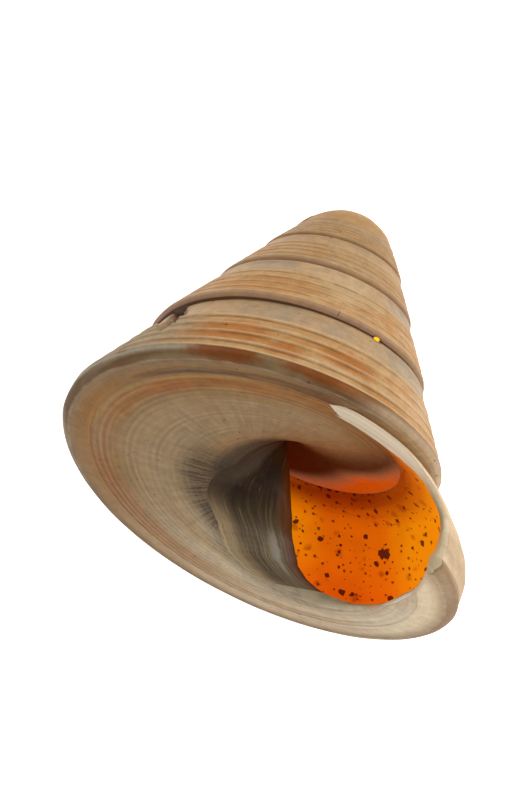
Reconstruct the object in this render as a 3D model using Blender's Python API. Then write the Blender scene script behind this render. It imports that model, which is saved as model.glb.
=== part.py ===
import math

import bmesh
import bpy
import numpy as np
from mathutils import Vector

# Size and growth of the spiral. Profile lengths below are shares of GROWTH_RADIUS.
GROWTH_RADIUS = 0.0153  # metres from the axis to the keel at the growing edge
WHORL_RATIO = 1.386  # growth of every length in one turn
TURN = 360.0  # degrees
GROWTH = math.log(WHORL_RATIO) / TURN  # growth a degree
APEX_ANGLE = -1700.0  # where the oldest whorl is worn away
WORN_TOP = 0.235  # depth of the worn crown below the point of the cone
WORN_POWER = 3.2  # sharpness of the crown's edge
CROWN_TOP = -0.268  # level of the crown's middle
CROWN_RINGS = ((0.80, 0.48), (0.62, 0.72))  # share of the radius kept and of the height gained, ring by ring

# Outer profile as (radius, depth) at the growing edge
SHOULDER = (1.0, 1.885)  # on the keel, where the next whorl is attached
FLANK_FOOT = (1.013, 1.836)
KEEL_CREST = (1.022, 1.862)
KEEL_FOOT = (0.975, 1.890)
CORDS = (0.354, 0.517, 0.676, 0.843)  # spiral ridges, as shares of the flank
CORD_HEIGHT = 0.011
CROWN_OF_WHORL = (0.16, 0.28)  # rows on the smooth stretch above the first cord
BASE_RADII = (0.86, 0.79, 0.73, 0.70, 0.66, 0.60, 0.54, 0.47, 0.38, 0.30, 0.24, 0.17, 0.10)
BASE_RISE = 0.025  # how far the base bulges between the keel and the axis
BASE_CENTRE = 1.88  # depth of the base at the axis

KEEL_SHARES = (0.0, 0.31, 0.65, 1.0)  # steps between the shoulder and the base
NEAR = 0.02  # share of the flank over which its direction is measured

# The last quarter turn is attached below the keel of the whorl before it
DESCENT_START = -90.0
FLANK_KNOTS = ((0.752, 1.405), (0.799, 1.480), (0.872, 1.601))
DESCENT_KNOTS = ((0.702, 1.388), (0.762, 1.428), (0.850, 1.560))

# Growing edge: how far each part of it lags behind the edge at the suture, in degrees
FLANK_LAG = (
    (0.0, 0),
    (0.08, 4),
    (0.16, 12),
    (0.22, 22),
    (0.28, 31),
    (0.34, 37),
    (0.5, 40),
    (0.75, 37),
    (1.0, 33),
)
BASE_LAG = (
    (0.10, 264),
    (0.17, 234),
    (0.24, 206),
    (0.27, 182),
    (0.30, 171),
    (0.38, 161),
    (0.47, 155),
    (0.54, 145),
    (0.60, 134),
    (0.66, 118),
    (0.70, 100),
    (0.73, 72),
    (0.79, 58),
    (0.86, 48),
    (0.91, 41),
    (0.96, 35),
    (1.02, 33),
)

# The last whorl is slimmer than the spiral before it, and its flank swells behind its edge
SLIMMER = 0.038
SLIMMER_FROM = -440.0
SLIMMER_OVER = 160.0  # degrees
SWELL = 0.075
SWELL_AT = -55.0
SWELL_WIDTH = 24.0

# Hollow of the whorl
HOLLOW_DEPTH = 450.0  # degrees of growth from the mouth to its inner end
INNER_FLANK = ((0.660, 1.424), (0.722, 1.462), (0.768, 1.530), (0.815, 1.610), (0.866, 1.696), (0.915, 1.780))
INNER_CORNER = (0.938, 1.842)
INNER_EDGE = 1.0  # degrees by which the inside of the lip stays behind its outside
INNER_SHARE = 0.6  # where the first inner row lies on the flank, in rows
INNER_BASE_RADII = (0.88, 0.78, 0.70, 0.62, 0.54, 0.46, 0.38, 0.31)
INNER_BASE_RISE = (0.031, 0.031, 0.033, 0.040, 0.055, 0.075, 0.100, 0.130)
INNER_BASE_LAG = (47.0, 62.0, 96.0, 106.0, 110.0, 110.0, 103.0, 92.0)
COLUMELLA = ((0.27, 1.700), (0.235, 1.630), (0.200, 1.550), (0.165, 1.470), (0.125, 1.405))
COLUMELLA_LAG = (84.0, 82.0, 84.0, 92.0, 104.0)
COLUMELLA_TOP_LAG = 120.0
SCOOP_FROM = 0.60  # radius of the base where the lip widens into the end of the columella
SCOOP = 0.020  # how far the end of the columella is hollowed
SCOOP_LINES = (0.33, 0.67)

# Steps of the surface
FINE_STEP = TURN / 48
COARSE_STEP = TURN / 32
DEEP_STEP = TURN / 24
FINE_FROM = -1000.0
DEEP_BELOW = -240.0
CROWDED = 0.35  # share of a step that is too close to an end
TINY = 1e-6

# How the shell lies: on its side, with the base turned obliquely up and the spire pointing away
UP_AZIMUTH = -21.16
UP_ELEVATION = -26.39
UP_ROLL = 22.52
REST_DOWN = (0.3050, -0.0468, -0.9512)  # normal of the side that it rests on, after that turn

SHELL_COLOUR = (0.52, 0.36, 0.22, 1.0)
SHELL_ROUGHNESS = 0.42


def clear_scene():
    for obj in list(bpy.data.objects):
        bpy.data.objects.remove(obj, do_unlink=True)


def curve_through(knots, shares):
    """Points at these shares of the length of a smooth curve through the knots."""
    p = np.array(knots, float)
    ends = np.vstack([2 * p[0] - p[1], p, 2 * p[-1] - p[-2]])
    t = np.linspace(0.0, 1.0, 16, endpoint=False)[:, None]
    path = []
    for a, b, c, d in zip(ends, ends[1:], ends[2:], ends[3:]):
        square = 2 * a - 5 * b + 4 * c - d
        cube = 3 * b - a - 3 * c + d
        path.append(0.5 * (2 * b + (c - a) * t + square * t**2 + cube * t**3))
    path = np.vstack([*path, p[-1:]])
    length = np.concatenate([[0.0], np.cumsum(np.linalg.norm(np.diff(path, axis=0), axis=1))])
    at = np.array(shares) * length[-1]
    return np.stack([np.interp(at, length, path[:, 0]), np.interp(at, length, path[:, 1])], 1)


def base_depth(radius):
    """Depth of the base at a radius of the outer profile."""
    share = (KEEL_FOOT[0] - radius) / KEEL_FOOT[0]
    level = KEEL_FOOT[1] + (BASE_CENTRE - KEEL_FOOT[1]) * share
    return level + BASE_RISE * math.sin(math.pi * share)


def base_point(radius):
    return (radius, base_depth(radius))


def eased(share):
    share = min(max(share, 0.0), 1.0)
    return share * share * (3 - 2 * share)


def swollen(angle, share, point):
    """A flank profile point pushed out where the last whorl swells; share runs down the flank."""
    bump = math.exp(-(((angle - SWELL_AT) / SWELL_WIDTH) ** 2))
    return (point[0] * (1 + SWELL * bump * math.sin(math.pi * share**1.4) ** 0.8), point[1])


def place(angle, point):
    """A profile point at a growth angle, in shares of GROWTH_RADIUS, with the axis along Z."""
    factor = math.exp(GROWTH * angle)
    radius = point[0] * factor * (1 - SLIMMER * eased((angle - SLIMMER_FROM) / SLIMMER_OVER))
    depth = point[1] * factor
    depth = (depth**WORN_POWER + WORN_TOP**WORN_POWER) ** (1 / WORN_POWER)
    turned = math.radians(-angle)
    return (radius * math.cos(turned), radius * math.sin(turned), -depth)


def stepped(start, end, step_at):
    """Growth angles from start to end, on whole steps, with none crowded against either."""
    angles = [start]
    angle = start
    while True:
        step = step_at(angle)
        angle = (math.floor(angle / step + TINY) + 1) * step
        if angle > end - CROWDED * step:
            break
        if angle > start + CROWDED * step:
            angles.append(angle)
    angles.append(end)
    return angles


def steps_between(start, end):
    """Growth angles of the outside, finer towards the mouth."""
    return stepped(start, end, lambda angle: FINE_STEP if angle >= FINE_FROM else COARSE_STEP)


def deep_steps(start, end, offset):
    """Growth angles of the hollow, coarse where it can't be seen."""
    return stepped(start, end, lambda angle: FINE_STEP if angle - offset >= DEEP_BELOW else DEEP_STEP)


class Surface:
    def __init__(self):
        self.points = []
        self.faces = []

    def add(self, point):
        self.points.append(point)
        return len(self.points) - 1

    def row(self, angles, profile):
        """A row of points: (angle, index) pairs for profile(angle)."""
        return [(angle, self.add(place(angle, profile(angle)))) for angle in angles]

    def zip(self, one, other):
        """Faces between two rows, each a list of (position along it, index)."""
        i = j = 0
        while i < len(one) - 1 or j < len(other) - 1:
            more_one = i < len(one) - 1
            more_other = j < len(other) - 1
            if more_one and (not more_other or one[i + 1][0] <= other[j + 1][0] + TINY):
                corners = (one[i][1], other[j][1], one[i + 1][1])
                i += 1
            else:
                corners = (one[i][1], other[j][1], other[j + 1][1])
                j += 1
            if len(set(corners)) == 3:
                self.faces.append(corners)

    def along(self, indices):
        """The indices with the share of the length of the line through them."""
        points = np.array([self.points[index] for index in indices])
        length = np.concatenate([[0.0], np.cumsum(np.linalg.norm(np.diff(points, axis=0), axis=1))])
        return list(zip(length / length[-1], indices))


def descent(angle):
    """0 where the whorl is attached at the keel of the one before, 1 where it is attached below it."""
    return eased((angle - DESCENT_START) / -DESCENT_START)


def keel_curve(shares):
    knots = (SHOULDER, KEEL_FOOT, base_point(0.5 * (KEEL_FOOT[0] + BASE_RADII[0])), base_point(BASE_RADII[0]))
    return curve_through(knots, shares)


def lag(table, at):
    keys, values = zip(*table)
    return -float(np.interp(at, keys, values))


def turned(row, by):
    return [(angle + by, index) for angle, index in row]


def part_of(row, start, end):
    return [(angle, index) for angle, index in row if start - TINY <= angle <= end + TINY]


def build_surface():
    s = Surface()
    keel_points = keel_curve(KEEL_SHARES)

    # The shoulder line, one row over all turns: each turn's lower edge and the next one's upper edge
    first = APEX_ANGLE - TURN
    shoulder_end = lag(FLANK_LAG, 1.0)
    leaves = DESCENT_START - TURN
    shoulder_angles = sorted(set(steps_between(first, shoulder_end)) | {leaves, APEX_ANGLE, -TURN})
    shoulder = s.row(shoulder_angles, lambda angle: SHOULDER)
    start_of_descent = (leaves, dict(shoulder)[leaves])

    # Rows over the keel, which the last quarter turn leaves uncovered
    keel_rows = []
    for full_share, keel_point in zip(KEEL_SHARES[1:], keel_points[1:]):
        end = lag(BASE_LAG, keel_point[0])
        angles = sorted(set(steps_between(leaves, end)) | {-TURN})[1:]
        row = [start_of_descent]
        for angle in angles:
            share = full_share * descent(angle + TURN)
            row.append((angle, s.add(place(angle, keel_curve((share,))[0]))))
        keel_rows.append(row)
    s.zip(part_of(shoulder, leaves, 0), keel_rows[0])
    for one, other in zip(keel_rows, keel_rows[1:]):
        s.zip(one, other)

    # Upper edge of every turn: the shoulder of the one before, then the uncovered keel's lower edge
    upper = part_of(shoulder, first, leaves) + part_of(keel_rows[-1], leaves, -TURN)[1:]
    upper = turned(upper, TURN)

    def flank(share, ridge):
        def at(angle):
            fallen = descent(angle)
            top = keel_curve((fallen,))[0] / WHORL_RATIO
            middle = (1 - fallen) * np.array(FLANK_KNOTS) + fallen * np.array(DESCENT_KNOTS)
            knots = np.vstack([top, middle, FLANK_FOOT])
            near = curve_through(knots, (share, max(share - NEAR, 0.0), min(share + NEAR, 1.0)))
            along = near[2] - near[1]
            along = along / np.linalg.norm(along)
            out = near[0] + ridge * CORD_HEIGHT * (1 - fallen) * np.array([along[1], -along[0]])
            return swollen(angle, share, out)

        return at

    def crest(angle):
        return KEEL_CREST

    rows = [upper]
    levels = [(share, 0.0) for share in CROWN_OF_WHORL]
    for cord, following in zip(CORDS, CORDS[1:] + (1.0,)):
        levels += [(cord, 1.0), ((cord + following) / 2, 0.0)]
    levels.append((1.0, 0.0))
    for share, ridge in levels:
        angles = steps_between(APEX_ANGLE, lag(FLANK_LAG, share))
        rows.append(s.row(angles, flank(share, ridge)))
    rows.append(s.row(steps_between(APEX_ANGLE, lag(FLANK_LAG, 1.0)), crest))
    rows.append(part_of(shoulder, APEX_ANGLE, 0))
    for one, other in zip(rows, rows[1:]):
        s.zip(one, other)

    # Worn crown
    ring = [index for _, index in part_of(shoulder, first, APEX_ANGLE)]
    step = [row[0][1] for row in rows[1:-1]]
    rim = ring + step[::-1]
    for inward, rise in CROWN_RINGS:
        smaller = []
        for index in rim:
            x, y, z = s.points[index]
            smaller.append(s.add((x * inward, y * inward, z + (CROWN_TOP - z) * rise)))
        band = list(zip(rim, smaller))
        for (a, b), (c, d) in zip(band, band[1:] + band[:1]):
            s.faces.append((a, b, d))
            s.faces.append((a, d, c))
        rim = smaller
    crown = s.add((0.0, 0.0, CROWN_TOP))
    for a, b in zip(rim, rim[1:] + rim[:1]):
        s.faces.append((crown, a, b))

    # Base, which is also the roof of the hollow one turn on
    base_start = -HOLLOW_DEPTH - TURN
    base_rows = []
    for radius in BASE_RADII[1:]:
        end = lag(BASE_LAG, radius)
        angles = deep_steps(base_start, end, -TURN)
        angles = sorted(set(angles) | {-TURN, -TURN - COLUMELLA_TOP_LAG})
        base_rows.append(s.row(angles, lambda angle, radius=radius: base_point(radius)))
    s.zip(part_of(keel_rows[-1], -TURN, 0), part_of(base_rows[0], -TURN, 0))
    for one, other in zip(base_rows, base_rows[1:]):
        s.zip(one, other)

    # Hollow
    roof_outer = turned(base_rows[0], TURN)
    roof_inner = turned(base_rows[-1], TURN)
    inner_rows = [part_of(roof_outer, -HOLLOW_DEPTH, 0)]
    for k, point in enumerate(INNER_FLANK):
        share = (k + INNER_SHARE) / len(INNER_FLANK)
        end = lag(FLANK_LAG, share) - INNER_EDGE
        inner_rows.append(
            s.row(
                deep_steps(-HOLLOW_DEPTH, end, 0),
                lambda angle, point=point, share=share: swollen(angle, share, point),
            )
        )
    corner_end = lag(BASE_LAG, INNER_CORNER[0]) - INNER_EDGE
    inner_rows.append(s.row(deep_steps(-HOLLOW_DEPTH, corner_end, 0), lambda angle: INNER_CORNER))
    for radius, rise, behind in zip(INNER_BASE_RADII, INNER_BASE_RISE, INNER_BASE_LAG):
        point = (radius, base_depth(radius) - rise)
        inner_rows.append(s.row(deep_steps(-HOLLOW_DEPTH, -behind, 0), lambda angle, point=point: point))
    for point, behind in zip(COLUMELLA, COLUMELLA_LAG):
        inner_rows.append(s.row(deep_steps(-HOLLOW_DEPTH, -behind, 0), lambda angle, point=point: point))
    inner_rows.append(part_of(roof_inner, -HOLLOW_DEPTH, -COLUMELLA_TOP_LAG))
    for one, other in zip(inner_rows, inner_rows[1:]):
        s.zip(one, other)

    # Inner end of the hollow
    ring = [row[0][1] for row in inner_rows]
    roof = [row[0][1] for row in base_rows[1:-1]]
    ring = ring + roof[::-1]
    middle = s.add(tuple(np.mean([s.points[index] for index in ring], axis=0)))
    for a, b in zip(ring, ring[1:] + ring[:1]):
        s.faces.append((middle, a, b))

    # Growing edge
    outer_edge = [row[-1][1] for row in rows + keel_rows + base_rows]
    inner_edge = [row[-1][1] for row in inner_rows]
    outer_from = len(outer_edge) - sum(radius <= SCOOP_FROM for radius in BASE_RADII)
    inner_from = 1 + len(INNER_FLANK) + sum(radius > SCOOP_FROM for radius in INNER_BASE_RADII)
    outer_corner = len(rows) - 2
    inner_corner = 1 + len(INNER_FLANK)
    s.zip(s.along(outer_edge[: outer_corner + 1]), s.along(inner_edge[: inner_corner + 1]))
    outer_below = outer_edge[outer_corner : outer_from + 1]
    inner_below = inner_edge[inner_corner : inner_from + 1]
    s.zip(s.along(outer_below), s.along(inner_below))

    # End of the columella, hollowed between its edge and the base
    scoop_outer = outer_edge[outer_from:]
    by_axis = part_of(base_rows[-1], -TURN - COLUMELLA_TOP_LAG, 0)[:-1]
    scoop_outer = scoop_outer + [index for _, index in by_axis[::-1]]
    scoop_inner = inner_edge[inner_from:]
    outer_line = s.along(scoop_outer)
    inner_line = s.along(scoop_inner)
    shares = [share for share, _ in outer_line[1:-1]]
    outer_points = np.array([s.points[index] for _, index in outer_line])
    inner_points = np.array([s.points[index] for _, index in inner_line])
    at_outer = np.array([share for share, _ in outer_line])
    at_inner = np.array([share for share, _ in inner_line])
    previous = outer_line
    for across in SCOOP_LINES:
        line = []
        for share in shares:
            start = np.array([np.interp(share, at_outer, outer_points[:, axis]) for axis in range(3)])
            end = np.array([np.interp(share, at_inner, inner_points[:, axis]) for axis in range(3)])
            hollow = SCOOP * math.sin(math.pi * share) * math.sin(math.pi * across)
            point = start + (end - start) * across + np.array([0.0, 0.0, hollow])
            line.append((share, s.add(tuple(point))))
        line = [(0.0, outer_line[0][1])] + line + [(1.0, outer_line[-1][1])]
        s.zip(previous, line)
        previous = line
    s.zip(previous, inner_line)
    return s


def laid_down(points):
    """The points turned so that the shell lies on the side that it rests on."""
    azimuth, elevation, roll = (math.radians(v) for v in (UP_AZIMUTH, UP_ELEVATION, UP_ROLL))
    level = math.cos(elevation)
    upward = Vector((level * math.cos(azimuth), level * math.sin(azimuth), math.sin(elevation)))
    right = Vector((0.0, 0.0, 1.0)).cross(upward).normalized()
    ahead = upward.cross(right)
    x_axis = math.cos(roll) * right + math.sin(roll) * ahead
    y_axis = math.cos(roll) * ahead - math.sin(roll) * right
    turned_up = points @ np.array([x_axis, y_axis, upward]).T
    settle = Vector(REST_DOWN).rotation_difference(Vector((0.0, 0.0, -1.0))).to_matrix()
    return turned_up @ np.array(settle).T


def main():
    clear_scene()
    surface = build_surface()
    points = laid_down(np.array(surface.points)) * GROWTH_RADIUS
    low, high = points.min(axis=0), points.max(axis=0)
    points -= np.array([(low[0] + high[0]) / 2, (low[1] + high[1]) / 2, low[2]])
    mesh = bpy.data.meshes.new("shell")
    mesh.from_pydata([tuple(p) for p in points], [], surface.faces)
    work = bmesh.new()
    work.from_mesh(mesh)
    bmesh.ops.recalc_face_normals(work, faces=work.faces)
    work.to_mesh(mesh)
    work.free()
    mesh.shade_smooth()
    material = bpy.data.materials.new("shell")
    material.use_nodes = True
    shader = material.node_tree.nodes["Principled BSDF"]
    shader.inputs["Base Color"].default_value = SHELL_COLOUR
    shader.inputs["Roughness"].default_value = SHELL_ROUGHNESS
    shader.inputs["Metallic"].default_value = 0.0
    mesh.materials.append(material)
    shell = bpy.data.objects.new("shell", mesh)
    bpy.context.scene.collection.objects.link(shell)


main()
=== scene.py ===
import functools
import math

import bmesh
import bpy
import numpy as np
from mathutils import Matrix, Vector


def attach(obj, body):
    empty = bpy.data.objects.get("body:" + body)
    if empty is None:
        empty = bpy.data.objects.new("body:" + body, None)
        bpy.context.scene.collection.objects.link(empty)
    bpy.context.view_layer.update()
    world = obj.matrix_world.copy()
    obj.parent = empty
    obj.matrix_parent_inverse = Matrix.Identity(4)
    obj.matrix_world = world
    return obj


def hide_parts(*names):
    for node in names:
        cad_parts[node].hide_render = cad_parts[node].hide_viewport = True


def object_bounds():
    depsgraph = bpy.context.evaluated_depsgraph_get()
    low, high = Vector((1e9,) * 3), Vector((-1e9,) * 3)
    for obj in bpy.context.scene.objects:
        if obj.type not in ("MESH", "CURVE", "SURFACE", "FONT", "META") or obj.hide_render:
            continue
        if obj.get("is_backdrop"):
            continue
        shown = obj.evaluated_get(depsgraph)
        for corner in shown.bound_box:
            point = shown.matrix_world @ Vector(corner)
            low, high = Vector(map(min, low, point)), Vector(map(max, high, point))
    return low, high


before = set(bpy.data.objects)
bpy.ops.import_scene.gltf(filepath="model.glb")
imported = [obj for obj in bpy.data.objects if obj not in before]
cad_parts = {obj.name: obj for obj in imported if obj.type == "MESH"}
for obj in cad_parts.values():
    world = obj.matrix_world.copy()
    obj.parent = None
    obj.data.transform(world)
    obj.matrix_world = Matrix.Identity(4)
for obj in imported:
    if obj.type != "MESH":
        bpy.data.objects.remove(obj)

CAD_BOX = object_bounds()

# Spiral, as in the solid: profile lengths are shares of GROWTH_RADIUS, angles are degrees of growth
GROWTH_RADIUS = 0.0153
WHORL_RATIO = 1.386
TURN = 360.0
GROWTH = math.log(WHORL_RATIO) / TURN
APEX_ANGLE = -1700.0
WORN_TOP = 0.235
WORN_POWER = 3.2
CROWN_TOP = -0.268
CROWN_RINGS = ((0.93, 0.20), (0.84, 0.40), (0.72, 0.57), (0.57, 0.74), (0.40, 0.87), (0.20, 0.96))

# Outer profile as (radius, depth)
SHOULDER = (1.0, 1.885)
FLANK_FOOT = (1.013, 1.836)
KEEL_CREST = (1.022, 1.862)
KEEL_FOOT = (0.975, 1.890)
BASE_START = 0.86
LIP_START = 0.79  # where the inside of the lip leaves the base of the whorl before
BASE_END = 0.10
BASE_RISE = 0.025
BASE_CENTRE = 1.88
DESCENT_START = -90.0
FLANK_KNOTS = ((0.752, 1.405), (0.799, 1.480), (0.872, 1.601))
DESCENT_KNOTS = ((0.702, 1.388), (0.762, 1.428), (0.850, 1.560))
SUTURE_DEPTH = 0.006
SUTURE_HALF = 0.016
SUTURE_SWELL = 0.009  # how far the flank swells up towards the keel above it

# Spiral cords, as shares of the flank, and threads on the base
CORDS = (0.354, 0.517, 0.676, 0.843, 0.985)
CORD_HEIGHT = 0.012
CORD_HALF = 0.030
CORD_WIDTH = 0.022
CORD_STEPS = (-1.5, -0.9, -0.55, -0.27, 0.0, 0.27, 0.55, 0.9, 1.5)
SMOOTH_STEPS = 9  # rows between the suture and the first cord
KEEL_STEPS = 5
KEEL_SHARES = (0.0, 0.09, 0.14, 0.18, 0.22, 0.28, 0.36, 0.44, 0.52, 0.60, 0.68, 0.76, 0.84, 0.92, 1.0)
KEEL_LINE = 0.18
KEEL_RIDGE = 0.004
NEAR = 0.02  # share of the flank over which its direction is measured
THREAD_SPACING = 0.036
THREAD_HEIGHT = 0.0020
THREAD_STEPS = 3  # rows a thread
RIDGES_FADE = (-62.0, -125.0)  # growth angles between which cords and threads fade out towards the lip

# Growing edge: lag behind the edge at the suture, by share of the flank or by radius of the base
FLANK_LAG = (
    (0.0, -8),
    (0.03, -4),
    (0.08, 2),
    (0.16, 12),
    (0.22, 22),
    (0.28, 31),
    (0.34, 37),
    (0.5, 40),
    (0.75, 37),
    (1.0, 33),
)
BASE_LAG = (
    (0.10, 264),
    (0.17, 234),
    (0.24, 206),
    (0.27, 182),
    (0.30, 171),
    (0.38, 161),
    (0.47, 155),
    (0.54, 145),
    (0.60, 134),
    (0.66, 118),
    (0.70, 100),
    (0.73, 72),
    (0.79, 58),
    (0.86, 48),
    (0.91, 41),
    (0.96, 35),
    (1.02, 33),
)
RAGGED = 0.16  # degrees

# The last whorl is slimmer than the spiral before it, and its flank swells behind its edge
SLIMMER = 0.038
SLIMMER_FROM = -440.0
SLIMMER_OVER = 160.0
SWELL = 0.075
SWELL_AT = -55.0
SWELL_WIDTH = 24.0

# Hollow of the whorl
HOLLOW_DEPTH = 450.0
INNER_FLANK = (
    (0.660, 1.424), (0.722, 1.462), (0.768, 1.530), (0.815, 1.610), (0.866, 1.696), (0.915, 1.780)
)
INNER_FLANK_STEPS = 20
INNER_CORNER = (0.938, 1.842)
INNER_BASE_RADII = (0.88, 0.78, 0.70, 0.62, 0.54, 0.46, 0.37, 0.29)
INNER_BASE_RISE = (0.031, 0.031, 0.033, 0.040, 0.055, 0.075, 0.100, 0.130)
INNER_CORNER_LAG = 35.5
INNER_BASE_LAG = (43.5, 60.0, 94.0, 106.0, 110.0, 110.0, 103.0, 92.0)
WIDER = 0.034  # how much wider the hollow is near the lip
COLUMELLA = ((0.240, 1.700), (0.202, 1.630), (0.167, 1.550), (0.133, 1.470), (0.100, 1.405))
COLUMELLA_LAG = (84.0, 82.0, 84.0, 92.0, 104.0)
COLUMELLA_TOP_LAG = 120.0
FINER = 3  # rows between the profile points of the hollow's base and columella
SCOOP_FROM = 0.60
SCOOP = 0.020
LIP_LINES = 9
LIP_ROUND = 0.010
LIP_BEHIND = 1.0  # degrees by which the inside of the lip stays behind its outside

# Steps of growth in degrees
STEPS = ((-500.0, 1.5), (-900.0, 2.25), (-1300.0, 3.0), (-2100.0, 4.5))
DEEP_BELOW = -240.0
DEEP_STEP = 6.0
CROWDED = 0.35
TINY = 1e-6

# How the shell lies, and where the tip of its cone then is
UP_AZIMUTH = -21.16
UP_ELEVATION = -26.39
UP_ROLL = 22.52
REST_DOWN = (0.3050, -0.0468, -0.9512)
CONE_TIP = (0.0038793, 0.0161047, -0.0000847)

# Camera, placed from the tip of the cone in shares of GROWTH_RADIUS, straight above the shell's face
CAMERA_SHIFT = (0.1181, 0.1207)
CAMERA_DISTANCE = 15.0
CAMERA_LENS = 171.25
CAMERA_SENSOR = 36.0

# Damage: (growth angle, share of the flank), size and depth
BREAK_AT = (-278.6, 0.22)
BREAK_SIZE = (4.4, 0.30)
BREAK_SLANT = 20.0  # degrees back for each share down
BREAK_DEPTH = 0.070
CHIPS = (((-265.0, 0.58), (1.0, 0.05), 0.020),)

# Marks as turn, place across, half turn, half across, softness and raggedness of the rim
FLAMES = (
    (-0.868, 0.66, 0.045, 0.20, 0.4, 0.9),
    (-0.985, 0.62, 0.03, 0.16, 0.45, 1.0),
    (-0.925, 0.80, 0.02, 0.12, 0.45, 1.0),
)
BLOTCHES = (
    (-0.880, 1.04, 0.030, 0.085, 0.4, 0.7),
    (-0.780, 0.94, 0.012, 0.07, 0.4, 0.7),
    (-0.965, 1.03, 0.040, 0.06, 0.45, 0.9),
)
# Small holes, painted as a yellow glow where light shines through them
PAINTED_GLOW_HOLES = ((-1.0184, 0.022, 0.0042, 0.024, 0.25, 0.7), (-2.0184, 1.1, 0.0042, 0.022, 0.25, 0.5))
SPOT_RIM = ((-1.0184, 0.022, 0.0080, 0.036, 0.4, 0.9), (-2.0184, 1.1, 0.0085, 0.030, 0.4, 0.7))
STAR = (-0.2738, 3.483, 0.0074, 0.050, 0.14, 3.4)
CRACK_TURN = -1.9612
CRACK_ACROSS = 1.03
SPECKS = ((74.0, 11.5, 0.0, 0.27, 0.03), (124.0, 20.0, 40.0, 0.25, 0.05), (58.0, 9.0, 80.0, 0.30, 0.16))

# Light
FLOOR_HALF = 0.6
FLOOR_GLOW = 1.0
WORLD_STRENGTH = 0.38
LIGHTS = (
    ("key", (0.22, 0.16, 0.34), (0.0, 0.0, 0.01), 0.20, 0.60),
    ("fill", (-0.30, 0.05, 0.25), (0.0, 0.0, 0.01), 0.25, 0.08),
)

# Places across the growth, as the second value of the map "spiral": the flank runs from 0 to CREST,
# the keel from there over the seam with the next turn to FOOT, and the base on from FOOT
CREST = 1.0
SEAM = 1.1
FOOT = 1.2
INNER = 3.0
INNER_BASE = 4.0
INNER_END = 5.8
LIP = 6.0
SCOOPED = 7.0
CROWN = 9.0
LOWER_LIP = 10.0
MASKS = ("ridge", "hurt")


# Shape
def eased(share):
    share = min(max(share, 0.0), 1.0)
    return share * share * (3 - 2 * share)


def bump(offset, half):
    return math.exp(-((offset / half) ** 2))


def curve_through(knots, shares):
    """Points at these shares of the length of a smooth curve through the knots."""
    p = np.array(knots, float)
    ends = np.vstack([2 * p[0] - p[1], p, 2 * p[-1] - p[-2]])
    t = np.linspace(0.0, 1.0, 16, endpoint=False)[:, None]
    path = []
    for a, b, c, d in zip(ends, ends[1:], ends[2:], ends[3:]):
        square = 2 * a - 5 * b + 4 * c - d
        cube = 3 * b - a - 3 * c + d
        path.append(0.5 * (2 * b + (c - a) * t + square * t**2 + cube * t**3))
    path = np.vstack([*path, p[-1:]])
    length = np.concatenate([[0.0], np.cumsum(np.linalg.norm(np.diff(path, axis=0), axis=1))])
    at = np.array(shares) * length[-1]
    return np.stack([np.interp(at, length, path[:, 0]), np.interp(at, length, path[:, 1])], 1)


def base_depth(radius):
    share = (KEEL_FOOT[0] - radius) / KEEL_FOOT[0]
    level = KEEL_FOOT[1] + (BASE_CENTRE - KEEL_FOOT[1]) * share
    return level + BASE_RISE * math.sin(math.pi * share)


def base_point(radius):
    return (radius, base_depth(radius))


def unevenness(angle, level):
    """Slow waves of growth, as a share of the radius."""
    t = math.radians(angle)
    slow = math.sin(2.3 * t + 1.1 * level) + 0.7 * math.sin(5.1 * t - 2.0 * level + 1.3)
    quick = math.sin(13.7 * t + 3.0 * level) + 0.8 * math.sin(22.3 * t - 5.0 * level + 0.4)
    return 0.0011 * slow + 0.0006 * quick


def place(angle, point, level=0.0):
    """A profile point at a growth angle, in shares of GROWTH_RADIUS, with the axis along Z."""
    factor = math.exp(GROWTH * angle)
    slim = 1 - SLIMMER * eased((angle - SLIMMER_FROM) / SLIMMER_OVER)
    radius = point[0] * factor * slim * (1 + unevenness(angle, level))
    depth = point[1] * factor
    depth = (depth**WORN_POWER + WORN_TOP**WORN_POWER) ** (1 / WORN_POWER)
    turned = math.radians(-angle)
    return (radius * math.cos(turned), radius * math.sin(turned), -depth)


def swollen(angle, share, point):
    swell = SWELL * bump(angle - SWELL_AT, SWELL_WIDTH)
    return (point[0] * (1 + swell * math.sin(math.pi * share**1.4) ** 0.8), point[1])


def descent(angle):
    """0 where the whorl is attached at the keel of the one before, 1 where it is attached below it."""
    return eased((angle - DESCENT_START) / -DESCENT_START)


def lag(table, at):
    keys, values = zip(*table)
    ragged = RAGGED * (math.sin(23 * at) + 0.6 * math.sin(57 * at + 1.0) + 0.3 * math.sin(131 * at))
    return -float(np.interp(at, keys, values)) - (ragged if at > 0.03 else 0.0)


def stepped(start, end, step_at):
    """Growth angles from start to end, on whole steps, with none crowded against either."""
    angles = [start]
    angle = start
    while True:
        step = step_at(angle)
        angle = (math.floor(angle / step + TINY) + 1) * step
        if angle > end - CROWDED * step:
            break
        if angle > start + CROWDED * step:
            angles.append(angle)
    angles.append(end)
    return angles


def outer_step(angle):
    return next(step for above, step in STEPS if angle >= above - TINY)


def steps_between(start, end):
    return stepped(start, end, outer_step)


def deep_steps(start, end, offset):
    return stepped(start, end, lambda angle: STEPS[0][1] if angle - offset >= DEEP_BELOW else DEEP_STEP)


class Row:
    """Points along the growth, as (angle, index) pairs, at one place across it."""

    def __init__(self, across, steps):
        self.across = across
        self.steps = steps

    def turned(self, by):
        return Row(self.across, [(angle + by, index) for angle, index in self.steps])

    def between(self, start, end):
        kept = [(angle, index) for angle, index in self.steps if start - TINY <= angle <= end + TINY]
        return Row(self.across, kept)


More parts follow.
